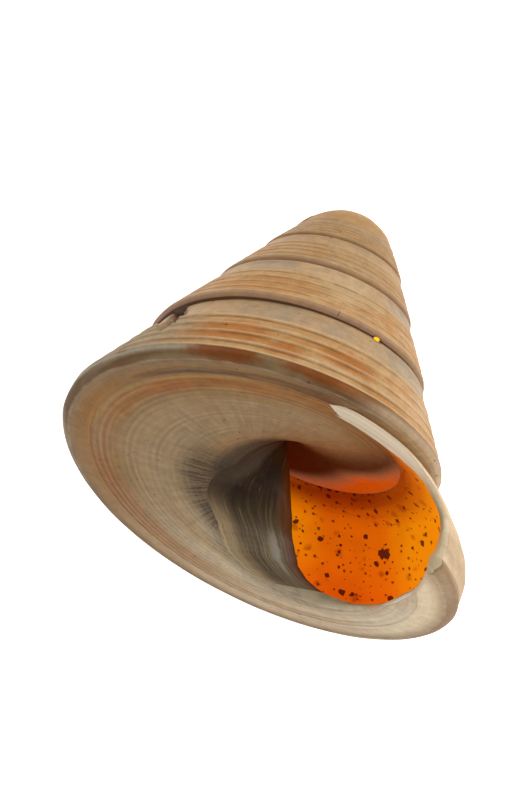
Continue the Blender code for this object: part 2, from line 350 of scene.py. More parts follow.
class Surface:
    def __init__(self):
        self.points = []
        self.masks = []
        self.faces = []
        self.places = []
        self.zones = []

    def add(self, point, **masks):
        self.points.append(point)
        self.masks.append([masks.get(name, 0.0) for name in MASKS])
        return len(self.points) - 1

    def row(self, across, angles, profile, masks=lambda angle: {}):
        steps = []
        for angle in angles:
            steps.append((angle, self.add(place(angle, profile(angle), across), **masks(angle))))
        return Row(across, steps)

    def zip(self, one, other, zone):
        """Faces between two rows."""
        a, b = one.steps, other.steps
        i = j = 0
        while i < len(a) - 1 or j < len(b) - 1:
            more_a = i < len(a) - 1
            more_b = j < len(b) - 1
            if more_a and (not more_b or a[i + 1][0] <= b[j + 1][0] + TINY):
                corners = ((a[i], one), (b[j], other), (a[i + 1], one))
                i += 1
            else:
                corners = ((a[i], one), (b[j], other), (b[j + 1], other))
                j += 1
            self.face([(index, angle / TURN, row.across) for (angle, index), row in corners], zone)

    def face(self, corners, zone):
        """corners are (index, turn, place across the growth)."""
        if len({index for index, _, _ in corners}) == 3:
            self.faces.append([index for index, _, _ in corners])
            self.places.append([(turn, across) for _, turn, across in corners])
            self.zones.append(zone)

    def zip_all(self, rows, zone):
        for one, other in zip(rows, rows[1:]):
            self.zip(one, other, zone)

    def along(self, indices, across=0.0):
        """A row whose positions are shares of the length of the line through the points."""
        points = np.array([self.points[index] for index in indices])
        length = np.concatenate([[0.0], np.cumsum(np.linalg.norm(np.diff(points, axis=0), axis=1))])
        return Row(across, list(zip(length / length[-1], indices)))

    def bridge(self, outer, inner, offset, zone, across_from, first):
        """Faces over the gap between two lines of points, with more lines between them.

        offset(share along, share across, start, end) is added to the straight line over the gap.
        first holds the points of those lines at their start; their ends are returned."""
        outer, inner = self.along(outer, across_from), self.along(inner, across_from + 1.0)
        at_outer, at_inner = (np.array([share for share, _ in row.steps]) for row in (outer, inner))
        on_outer, on_inner = (np.array([self.points[i] for _, i in row.steps]) for row in (outer, inner))
        same_end = outer.steps[-1][1] == inner.steps[-1][1]
        rows = [outer]
        for line in range(1, LIP_LINES + 1):
            across = line / (LIP_LINES + 1)
            steps = [(0.0, first[line - 1])]
            for share in at_outer[1:]:
                if share == 1.0 and same_end:
                    steps.append((share, outer.steps[-1][1]))
                    continue
                start = np.array([np.interp(share, at_outer, on_outer[:, axis]) for axis in range(3)])
                end = np.array([np.interp(share, at_inner, on_inner[:, axis]) for axis in range(3)])
                point = start + (end - start) * across + offset(share, across, start, end)
                steps.append((share, self.add(tuple(point))))
            rows.append(Row(across_from + across, steps))
        rows.append(inner)
        self.zip_all(rows, zone)
        return [row.steps[-1][1] for row in rows[1:-1]]


# Profile of the outside
def ridged(angle):
    """How much of the spiral ridges shows: they fade before the lip and under the glaze in the mouth."""
    mouth = eased((RIDGES_FADE[0] - angle) / (RIDGES_FADE[0] - RIDGES_FADE[1]))
    return mouth * (1 - 0.7 * eased((-TURN - 5.0 - angle) / 20.0))


def thread(radius):
    fade = eased((0.90 - radius) / 0.06) * eased((radius - 0.13) / 0.08)
    return THREAD_HEIGHT * fade * math.cos(2 * math.pi * radius / THREAD_SPACING)


def threaded(angle, radius):
    return (radius, base_depth(radius) + thread(radius) * ridged(angle))


def keel_curve(shares):
    knots = (SHOULDER, KEEL_FOOT, base_point(0.5 * (KEEL_FOOT[0] + BASE_START)), base_point(BASE_START))
    return curve_through(knots, shares)


@functools.lru_cache(maxsize=None)
def smooth_keel_point(share):
    return tuple(keel_curve((share,))[0])


def keel_point(angle, share):
    radius, depth = smooth_keel_point(share)
    ridge = KEEL_RIDGE * bump(share - KEEL_LINE, 0.05)
    shown = ridged(angle)
    return (radius + 0.6 * ridge * shown, depth + (ridge + thread(radius)) * shown)


@functools.lru_cache(maxsize=None)
def flank_line(share, fallen):
    """A point of the flank and the way out from it, where the whorl has fallen by so much."""
    top = keel_curve((fallen,))[0] / WHORL_RATIO
    middle = (1 - fallen) * np.array(FLANK_KNOTS) + fallen * np.array(DESCENT_KNOTS)
    knots = np.vstack([top, middle, FLANK_FOOT])
    near = curve_through(knots, (share, max(share - NEAR, 0.0), min(share + NEAR, 1.0)))
    along = near[2] - near[1]
    along = along / np.linalg.norm(along)
    return near[0], np.array([along[1], -along[0]])


def ridge_at(share):
    return max(bump(share - cord, CORD_WIDTH) for cord in CORDS)


def hurt_at(angle, share):
    """How deep the broken place at the suture goes, from 0 to 1."""
    wobble = 0.22 * math.sin(0.9 * angle) + 0.15 * math.sin(2.3 * angle + 40 * share)
    down = share - BREAK_AT[1]
    away = math.hypot((angle - BREAK_AT[0] + BREAK_SLANT * down) / BREAK_SIZE[0], down / BREAK_SIZE[1])
    return eased((1.25 + wobble - away) / 0.45)


def flank_point(angle, share):
    fallen = descent(angle)
    point, out = flank_line(share, fallen)
    height = CORD_HEIGHT * ridge_at(share) * (0.1 + 0.9 * ridged(angle))
    height -= SUTURE_DEPTH * bump(share, SUTURE_HALF) * (1 - fallen)
    height += SUTURE_SWELL * bump(share - 0.055, 0.055)
    height -= BREAK_DEPTH * hurt_at(angle, share)
    for at, width, depth in CHIPS:
        height -= depth * bump((angle - at[0]) / width[0], 1.0) * bump((share - at[1]) / width[1], 1.0)
    return swollen(angle, share, point + height * out)


def shoulder_point(angle):
    tucked = SUTURE_DEPTH * eased((DESCENT_START - TURN - angle) / 60)
    return (SHOULDER[0] - 0.86 * tucked, SHOULDER[1] + 0.5 * tucked)


def flank_shares():
    shares = [0.012, 0.03, 0.055, 0.085]
    start = CORDS[0] + CORD_STEPS[0] * CORD_HALF
    shares += list(np.linspace(0.085, start, SMOOTH_STEPS)[1:-1])
    for cord in CORDS:
        shares += [cord + step * CORD_HALF for step in CORD_STEPS]
    shares = sorted(share for share in shares if share < 0.998)
    kept = [shares[0]]
    for share in shares[1:]:
        if share - kept[-1] > 0.004:
            kept.append(share)
    return [float(share) for share in kept] + [1.0]


def growth_masks(share):
    return lambda angle: {"ridge": ridge_at(share) * ridged(angle), "hurt": hurt_at(angle, share)}


def build_surface():
    s = Surface()

    # The shoulder line, one row over all turns: each turn's lower edge and the next one's upper edge
    first = APEX_ANGLE - TURN
    leaves = DESCENT_START - TURN
    angles = sorted(set(steps_between(first, lag(FLANK_LAG, 1.0))) | {leaves, APEX_ANGLE, -TURN})
    shoulder = s.row(SEAM, angles, shoulder_point)
    start_of_descent = (leaves, dict(shoulder.steps)[leaves])

    # Rows over the keel, which the last quarter turn leaves uncovered
    keel_rows = []
    for full_share in KEEL_SHARES[1:]:
        end = lag(BASE_LAG, smooth_keel_point(full_share)[0])
        angles = sorted(set(steps_between(leaves, end)) | {-TURN})[1:]
        steps = [start_of_descent]
        for angle in angles:
            point = keel_point(angle, round(full_share * descent(angle + TURN), 5))
            steps.append((angle, s.add(place(angle, point, keel_across(full_share)))))
        keel_rows.append(Row(keel_across(full_share), steps))
    s.zip_all([shoulder.between(leaves, 0.0)] + keel_rows, "outside")

    # Upper edge of every turn: the shoulder of the one before, then the uncovered keel's lower edge
    upper = shoulder.between(first, leaves).steps + keel_rows[-1].between(leaves, -TURN).steps[1:]
    upper = Row(0.0, upper).turned(TURN)
    rows = [upper]
    for share in flank_shares():
        angles = steps_between(APEX_ANGLE, lag(FLANK_LAG, share))
        shape = lambda angle, share=share: flank_point(angle, share)
        rows.append(s.row(share, angles, shape, growth_masks(share)))
    crest = curve_through(
        (flank_point(-600.0, 1.0), KEEL_CREST, SHOULDER), np.linspace(0, 1, KEEL_STEPS + 2)[1:-1]
    )
    for k, point in enumerate(crest):
        angles = steps_between(APEX_ANGLE, lag(FLANK_LAG, 1.0))
        across = CREST + (SEAM - CREST) * (k + 1) / (KEEL_STEPS + 1)
        rows.append(s.row(across, angles, lambda angle, point=tuple(point): point))
    rows.append(shoulder.between(APEX_ANGLE, 0.0))
    s.zip_all(rows, "outside")
    add_crown(s, shoulder.between(first, APEX_ANGLE), rows)

    # Base: the strip under the lip's foot, then the rest, which is also the roof of the hollow
    base_rows = []
    for k, radius in enumerate(np.linspace(BASE_START, LIP_START, LIP_LINES + 2)[1:-1]):
        angles = steps_between(-TURN, lag(BASE_LAG, radius))
        base_rows.append(
            s.row(base_across(radius), angles, lambda angle, radius=radius: threaded(angle, radius))
        )
    strip = len(base_rows)
    count = round((LIP_START - BASE_END) / (THREAD_SPACING / THREAD_STEPS))
    for radius in np.linspace(LIP_START, BASE_END, count + 1):
        angles = deep_steps(-HOLLOW_DEPTH - TURN, lag(BASE_LAG, radius), -TURN)
        angles = sorted(set(angles) | {-TURN, -TURN - COLUMELLA_TOP_LAG})
        base_rows.append(
            s.row(base_across(radius), angles, lambda angle, radius=radius: threaded(angle, radius))
        )
    s.zip_all([row.between(-TURN, 0.0) for row in [keel_rows[-1]] + base_rows[: strip + 1]], "outside")
    s.zip_all(base_rows[strip:], "outside")

    # Hollow
    roof_outer, roof_inner = base_rows[strip], base_rows[-1]
    inner_rows, corner = hollow_rows(s, roof_outer, roof_inner)
    s.zip_all(inner_rows[: corner + 1], "inside")
    s.zip_all(inner_rows[corner : corner + 1 + FINER * len(INNER_BASE_RADII)], "inside")
    s.zip_all(inner_rows[corner + FINER * len(INNER_BASE_RADII) :], "columella")
    ring = [row.steps[0][1] for row in inner_rows]
    roof = [row.steps[0][1] for row in base_rows[strip + 1 : -1]]
    close_ring(
        s,
        ring + roof[::-1],
        s.add(tuple(np.mean([s.points[i] for i in ring + roof], axis=0))),
        3.5,
        "inside",
    )

    add_edge(s, rows, keel_rows, base_rows, inner_rows, corner, strip)
    return s


def keel_across(share):
    return SEAM + (FOOT - SEAM) * share


def base_across(radius):
    return FOOT + KEEL_FOOT[0] - radius


def close_ring(s, ring, middle, across, zone):
    for a, b in zip(ring, ring[1:] + ring[:1]):
        s.face([(middle, 0.0, across), (a, 0.0, across), (b, 0.0, across)], zone)


def add_crown(s, shoulder, rows):
    start = APEX_ANGLE / TURN
    rim = [index for _, index in shoulder.steps] + [row.steps[0][1] for row in rows[1:-1]][::-1]
    outline = [s.points[index] for index in rim]
    for inward, rise in CROWN_RINGS:
        smaller = [s.add((x * inward, y * inward, z + (CROWN_TOP - z) * rise)) for x, y, z in outline]
        band = list(zip(rim, smaller))
        for (a, b), (c, d) in zip(band, band[1:] + band[:1]):
            s.face([(index, start, CROWN) for index in (a, b, d)], "outside")
            s.face([(index, start, CROWN) for index in (a, d, c)], "outside")
        rim = smaller
    close_ring(s, rim, s.add((0.0, 0.0, CROWN_TOP)), CROWN, "outside")


def widened(angle, share, point):
    """A profile point of the inner flank, pushed out where the wall gets thinner near the lip."""
    wider = 1 + WIDER * bump(angle + 55.0, 40.0) * math.sin(math.pi * share)
    radius, depth = swollen(angle, share, point)
    return (radius * wider, depth)


def hollow_rows(s, roof_outer, roof_inner):
    """Rows from the roof over the flank, the corner, the base and the columella, back to the roof."""
    rows = [Row(INNER, roof_outer.turned(TURN).between(-HOLLOW_DEPTH, 0.0).steps)]
    roof = np.array(base_point(LIP_START)) / WHORL_RATIO
    knots = np.vstack([roof, INNER_FLANK, INNER_CORNER])
    shares = np.linspace(0, 1, INNER_FLANK_STEPS + 2)
    for share, point in zip(shares[1:], curve_through(knots, shares[1:])):
        if share < 1:
            end = lag(FLANK_LAG, share) - LIP_BEHIND
        else:
            end = -INNER_CORNER_LAG
        angles = deep_steps(-HOLLOW_DEPTH, end, 0)
        point = tuple(point)
        rows.append(
            s.row(
                INNER + share,
                angles,
                lambda angle,
                point=point,
                share=share: widened(angle, share, point),
            )
        )
    corner = len(rows) - 1

    points = [INNER_CORNER]
    points += [(radius, base_depth(radius) - rise) for radius, rise in zip(
        INNER_BASE_RADII, INNER_BASE_RISE
    )]
    points += list(COLUMELLA) + [tuple(np.array(base_point(BASE_END)) / WHORL_RATIO)]
    lags = [INNER_CORNER_LAG, *INNER_BASE_LAG, *COLUMELLA_LAG, COLUMELLA_TOP_LAG]
    path = np.array(points)
    ends = np.vstack([2 * path[0] - path[1], path, 2 * path[-1] - path[-2]])
    for k in range(len(points) - 1):
        a, b, c, d = ends[k : k + 4]
        for part in range(1, FINER + 1):
            if k == len(points) - 2 and part == FINER:
                break
            t = part / FINER
            square = 2 * a - 5 * b + 4 * c - d
            cube = 3 * b - a - 3 * c + d
            point = tuple(0.5 * (2 * b + (c - a) * t + square * t**2 + cube * t**3))
            end = -(lags[k] + (lags[k + 1] - lags[k]) * t)
            across = INNER_BASE + (k + t) / len(INNER_BASE_RADII)
            rows.append(
                s.row(across, deep_steps(-HOLLOW_DEPTH, end, 0), lambda angle, point=point: point)
            )
    rows.append(Row(INNER_END, roof_inner.turned(TURN).between(-HOLLOW_DEPTH, -COLUMELLA_TOP_LAG).steps))
    return rows, corner


def add_edge(s, rows, keel_rows, base_rows, inner_rows, corner, strip):
    """The growing edge, from the suture to the axis, then the hollowed end of the columella."""
    outer = [row.steps[-1][1] for row in rows + keel_rows + base_rows]
    inner = [row.steps[-1][1] for row in inner_rows]
    outer_corner = len(rows) - 1 - KEEL_STEPS // 2
    radii = [row.across for row in base_rows]
    outer_from = len(rows) + len(keel_rows) + sum(base_across(SCOOP_FROM) > across for across in radii)
    inner_from = corner + FINER * sum(radius > SCOOP_FROM for radius in INNER_BASE_RADII)

    def rounded(share, across, start, end):
        middle = 0.5 * (start + end)
        ahead = np.array([middle[1], -middle[0], 0.0]) / math.hypot(middle[0], middle[1])
        return LIP_ROUND * math.sin(math.pi * across) * ahead

    def hollowed(share, across, start, end):
        dip = SCOOP * math.sin(math.pi * min(share, 1.0)) * math.sin(math.pi * across)
        return np.array([0.0, 0.0, dip])

    foot = [row.between(-TURN, 0.0).steps[0][1] for row in base_rows[:strip]]
    foot = s.bridge(outer[: outer_corner + 1], inner[: corner + 1], rounded, "lip", LIP, foot)
    lower = (outer[outer_corner : outer_from + 1], inner[corner : inner_from + 1])
    foot = s.bridge(*lower, rounded, "lip", LOWER_LIP, foot)
    by_axis = base_rows[-1].between(-TURN - COLUMELLA_TOP_LAG, 0.0).steps[:-1]
    scoop_outer = outer[outer_from:] + [index for _, index in by_axis[::-1]]
    s.bridge(scoop_outer, inner[inner_from:], hollowed, "columella", SCOOPED, foot)


# Materials
def colour(red, green, blue):
    """A colour given as on a screen, in linear values."""
    values = [v / 255 for v in (red, green, blue)]
    return tuple(v / 12.92 if v <= 0.04045 else ((v + 0.055) / 1.055) ** 2.4 for v in values) + (1.0,)


class Material:
    """A material with the few kinds of node that the shell's materials are made of."""

    def __init__(self, name, roughness, specular, coat=0.0, coat_roughness=0.1):
        self.material = bpy.data.materials.new(name)
        self.material.use_nodes = True
        self.tree = self.material.node_tree
        self.shader = self.tree.nodes["Principled BSDF"]
        self.shader.inputs["Roughness"].default_value = roughness
        self.shader.inputs["Specular IOR Level"].default_value = specular
        self.shader.inputs["Coat Weight"].default_value = coat
        self.shader.inputs["Coat Roughness"].default_value = coat_roughness
        spiral = self.node("ShaderNodeUVMap", uv_map="spiral").outputs["UV"]
        split = self.node("ShaderNodeSeparateXYZ", {0: spiral})
        self.turn, self.across = split.outputs["X"], split.outputs["Y"]
        self.place = self.node("ShaderNodeTexCoord").outputs["Object"]

    def node(self, kind, values=None, **settings):
        node = self.tree.nodes.new(kind)
        for name, value in settings.items():
            setattr(node, name, value)
        for socket, value in (values or {}).items():
            self.feed(node.inputs[socket], value)
        return node

    def feed(self, socket, value):
        if isinstance(value, bpy.types.NodeSocket):
            self.tree.links.new(value, socket)
        else:
            socket.default_value = value

    def set(self, socket, value):
        self.feed(self.shader.inputs[socket], value)

    def math(self, operation, one, two=0.0):
        return self.node("ShaderNodeMath", {0: one, 1: two}, operation=operation).outputs[0]

    def add(self, one, two):
        return self.math("ADD", one, two)

    def times(self, *values):
        return functools.reduce(lambda one, two: self.math("MULTIPLY", one, two), values)

    def away(self, one, two):
        return self.math("SUBTRACT", one, two)

    def most(self, *values):
        return functools.reduce(lambda one, two: self.math("MAXIMUM", one, two), values)

    def rise(self, value, low, high, start=0.0, end=1.0):
        """start below low, end above high, and smooth between them."""
        values = {"Value": value, "From Min": low, "From Max": high, "To Min": start, "To Max": end}
        if low > high:
            values.update({"From Min": high, "From Max": low, "To Min": end, "To Max": start})
        return self.node("ShaderNodeMapRange", values, interpolation_type="SMOOTHSTEP").outputs["Result"]

    def band(self, value, middle, half, soft):
        """1 within half of the middle, falling to 0 over a soft edge."""
        off = self.math("ABSOLUTE", self.away(value, middle))
        return self.rise(off, half + soft, half)

    def noise(self, place, scale, detail=3.0, roughness=0.5, distortion=0.0):
        values = {"Vector": place, "Scale": scale, "Detail": detail, "Roughness": roughness}
        values["Distortion"] = distortion
        return self.node("ShaderNodeTexNoise", values).outputs["Fac"]

    def along(self, per_turn, per_across, shift=0.0):
        """A place for streaks that follow the growth, with so much change a turn and across it."""
        values = {0: self.times(self.turn, per_turn), 1: self.times(self.across, per_across), 2: shift}
        return self.node("ShaderNodeCombineXYZ", values).outputs[0]

    def streaks(self, per_turn, per_across, shift=0.0, *detail):
        return self.noise(self.along(per_turn, per_across, shift), 1.0, *detail)

    def by_turn(self, *limits):
        return self.rise(self.turn, *limits)

    def by_across(self, *limits):
        return self.rise(self.across, *limits)

    def mask(self, name):
        return self.node("ShaderNodeAttribute", attribute_name=name).outputs["Fac"]

    def mix(self, share, one, two):
        node = self.node("ShaderNodeMix", data_type="RGBA")
        for socket, value in ((node.inputs[0], share), (node.inputs[6], one), (node.inputs[7], two)):
            self.feed(socket, value)
        return node.outputs[2]

    def over(self, tone, share, strength, shade):
        """The tone with a shade laid over it, at most as strong as stated."""
        return self.mix(self.times(share, strength), tone, shade)

    def shaded(self, base, amount):
        """The colour made darker or lighter by a factor."""
        values = {0: base, "Scale": amount}
        node = self.node("ShaderNodeVectorMath", values, operation="SCALE")
        return node.outputs["Vector"]

    def spot(self, turn, across, half_turn, half_across, soft, ragged=0.0):
        """1 inside an oval at a place on the spiral, with a ragged edge."""
        u = self.times(self.away(self.turn, turn), 1 / half_turn)
        v = self.times(self.away(self.across, across), 1 / half_across)
        off = self.math("SQRT", self.add(self.times(u, u), self.times(v, v)))
        if ragged:
            rough = self.noise(self.place, 2200.0, 3.0)
            off = self.add(off, self.times(self.away(rough, 0.5), ragged))
        return self.rise(off, 1.0 + soft, 1.0 - soft)

    def bump(self, height, distance):
        values = {"Height": height, "Strength": 1.0, "Distance": distance}
        self.set("Normal", self.node("ShaderNodeBump", values).outputs["Normal"])


def flank_tone(m, ridge):
    """Beige, with orange between the pale cords and a smooth pale zone under the suture."""
    streaks = m.streaks(2.2, 26.0, 0.0, 4.0, 0.55)
    fine = m.streaks(7.0, 150.0, 3.0, 5.0, 0.65)
    patches = m.streaks(10.0, 3.6, 7.0, 3.0, 0.6, 0.5)
    drift = m.noise(m.place, 140.0, 3.0, 0.5)
    tone = m.mix(m.rise(streaks, 0.35, 0.65), colour(200, 165, 116), colour(212, 156, 88))
    orange = m.times(m.rise(patches, 0.46, 0.60), m.by_across(0.34, 0.46))
    tone = m.over(tone, orange, 0.6, colour(194, 126, 42))
    smooth = m.by_across(0.36, 0.27)
    smooth_tone = m.mix(m.rise(drift, 0.4, 0.6), colour(178, 156, 126), colour(208, 168, 122))
    tone = m.over(tone, smooth, 0.85, smooth_tone)
    flames = m.most(*(m.spot(*flame) for flame in FLAMES))
    tone = m.over(tone, flames, 0.85, colour(188, 110, 20))
    tone = m.over(tone, m.rise(drift, 0.52, 0.68), 0.35, colour(218, 190, 148))
    tone = m.over(tone, m.times(ridge, m.rise(fine, 0.3, 0.6, 0.6, 1.0)), 0.62, colour(226, 196, 150))
    groove = m.times(m.rise(fine, 0.52, 0.72), m.away(1.0, ridge))
    tone = m.over(tone, groove, 0.45, colour(142, 96, 48))
    # Painted shadow: dark lines just under the lower side of each cord
    painted_under = m.most(*(m.band(m.across, cord + CORD_HALF, 0.003, 0.014) for cord in CORDS))
    broken = m.rise(m.streaks(26.0, 12.0, 31.0, 4.0, 0.6), 0.36, 0.62)
    tone = m.over(tone, m.times(painted_under, broken), 0.55, colour(116, 70, 28))
    dashes = m.rise(m.streaks(34.0, 70.0, 17.0, 2.0), 0.66, 0.72)
    tone = m.over(tone, m.times(dashes, m.away(1.0, ridge)), 0.5, colour(110, 62, 24))
    left = m.times(m.band(m.turn, -0.74, 0.06, 0.06), m.by_across(0.25, 0.45))
    tone = m.over(tone, left, 0.55, colour(156, 142, 114))
    # Paler near the lip: partly the shell's own tone and partly painted light falling on that side
    newest_painted_light = m.by_turn(-0.36, -0.22)
    newest_tone = m.mix(m.rise(drift, 0.4, 0.6), colour(218, 196, 162), colour(206, 174, 132))
    return m.over(tone, newest_painted_light, 0.8, newest_tone)


def keel_tone(m, patches):
    """Smooth and grey-beige, with brown-orange blotches between its two fine lines."""
    tone = m.mix(m.rise(patches, 0.4, 0.6), colour(150, 122, 82), colour(122, 86, 46))
    older = m.by_turn(-1.25, -1.4)
    tone = m.over(tone, older, 0.8, colour(176, 138, 96))
    lilac = m.times(older, m.by_across(1.0, 1.05), m.rise(patches, 0.4, 0.6))
    tone = m.over(tone, lilac, 0.6, colour(166, 134, 122))
    grey = m.times(m.band(m.turn, -0.78, 0.07, 0.04), m.by_across(1.08, 1.03))
    tone = m.over(tone, grey, 0.8, colour(176, 160, 134))
    lower = m.times(m.by_across(1.11, 1.13), m.by_turn(-1.0, -0.95))
    lower_tone = m.mix(m.rise(patches, 0.35, 0.6), colour(150, 108, 58), colour(166, 140, 100))
    tone = m.over(tone, lower, 0.7, lower_tone)
    blotch = m.most(*(m.spot(*blotch) for blotch in BLOTCHES))
    tone = m.over(tone, blotch, 0.9, colour(140, 72, 6))
    line = m.band(m.across, keel_across(KEEL_LINE), 0.002, 0.006)
    line = m.times(line, m.rise(m.streaks(40.0, 9.0, 41.0, 4.0, 0.6), 0.36, 0.66))
    line = m.most(m.band(m.across, 0.985, 0.006, 0.008), m.times(line, 0.7))
    return m.over(tone, line, 0.6, colour(206, 178, 142))


def base_tone(m):
    """Brown to orange with fine threads, paler towards the mouth (partly painted light through the thin
    wall) and greyer towards the axis; painted shade below the keel and in the pit.
    """
    warm = m.streaks(2.6, 7.0, 11.0, 3.0, 0.55, 0.3)
    cloud = m.noise(m.place, 130.0, 3.0, 0.5)
    tone = m.mix(m.rise(warm, 0.38, 0.62), colour(160, 120, 60), colour(166, 102, 28))
    grey = m.times(m.by_across(1.42, 1.62), m.rise(cloud, 0.25, 0.6, 0.5, 1.0))
    tone = m.over(tone, grey, 0.85, colour(186, 156, 112))
    # Paler towards the mouth: partly the shell's own tone and partly painted light shining through the
    # thin wall
    pale_and_painted_backlight = m.by_turn(-0.62, -0.36)
    pale_tone = m.mix(m.rise(warm, 0.4, 0.6), colour(240, 220, 184), colour(214, 184, 142))
    tone = m.over(tone, pale_and_painted_backlight, 0.75, pale_tone)
    # Painted shade on the base just below the keel
    painted_shade_below_keel = m.times(m.by_across(1.34, 1.20), m.by_turn(-0.72, -0.84))
    tone = m.over(tone, painted_shade_below_keel, 0.9, colour(102, 58, 18))
    band = m.times(m.band(m.across, 1.40, 0.03, 0.06), m.band(m.turn, -0.82, 0.07, 0.09))
    patchy = m.rise(m.streaks(14.0, 9.0, 51.0, 4.0, 0.6, 0.4), 0.38, 0.62)
    tone = m.over(tone, m.times(band, patchy), 0.85, colour(176, 98, 18))
    golden = m.rise(m.streaks(6.0, 16.0, 61.0, 4.0, 0.6, 0.3), 0.44, 0.66)
    golden = m.times(golden, m.by_turn(-0.55, -0.68), m.by_across(1.62, 1.42))
    tone = m.over(tone, golden, 0.5, colour(196, 150, 74))
    wave = m.math("SINE", m.times(m.across, 2 * math.pi / THREAD_SPACING))
    faint = m.rise(m.streaks(6.0, 14.0, 21.0, 2.0), 0.35, 0.65)
    lines = m.times(m.rise(wave, -0.2, 1.0), m.by_across(1.22, 1.30), faint)
    tone = m.over(tone, lines, 0.25, colour(206, 182, 142))
    grooves = m.times(m.rise(wave, 0.1, -1.0), m.by_across(1.22, 1.30), faint)
    tone = m.over(tone, grooves, 0.16, colour(112, 72, 34))
    fine = m.streaks(5.0, 170.0, 13.0, 4.0, 0.6)
    tone = m.over(tone, m.rise(fine, 0.5, 0.72), 0.22, colour(128, 86, 44))
    spokes = m.streaks(120.0, 2.5, 5.0, 4.0, 0.65)
    spoked = m.by_across(1.35, 1.85, 0.25, 1.0)
    tone = m.over(tone, m.times(m.rise(spokes, 0.46, 0.72), spoked), 0.30, colour(116, 84, 46))
    tone = m.over(tone, m.times(m.rise(spokes, 0.5, 0.3), spoked), 0.14, colour(206, 186, 158))
    # The base darkens towards the hollowed end of the columella, with pale lines along that edge
    off_edge = m.away(0.168, m.add(m.times(m.across, 0.343), m.turn))
    beside = m.times(m.rise(off_edge, 0.075, 0.0), m.by_across(1.40, 1.52))
    beside = m.times(beside, m.by_turn(-0.62, -0.5))
    along_edge = m.node("ShaderNodeCombineXYZ", {0: m.times(off_edge, 260.0), 1: m.times(m.across, 5.0)})
    fan = m.rise(m.noise(along_edge.outputs[0], 1.0, 3.0), 0.38, 0.62)
    tone = m.over(tone, beside, 0.75, m.mix(fan, colour(112, 90, 60), colour(164, 142, 106)))
    side = m.times(m.by_turn(-0.80, -0.66), m.by_turn(-0.38, -0.48))
    near_axis = m.times(side, m.by_across(1.74, 1.90))
    ticks = m.rise(m.streaks(200.0, 5.0, 9.0, 2.0), 0.44, 0.58)
    tone = m.over(tone, near_axis, 0.6, colour(84, 66, 48))
    tone = m.over(tone, m.times(near_axis, ticks), 0.6, colour(46, 34, 26))
    # Painted shade in the pit at the axis
    pit_shade = m.times(m.by_across(1.93, 2.03), m.by_turn(-1.1, -1.0))
    return m.over(tone, pit_shade, 0.8, colour(66, 54, 44))


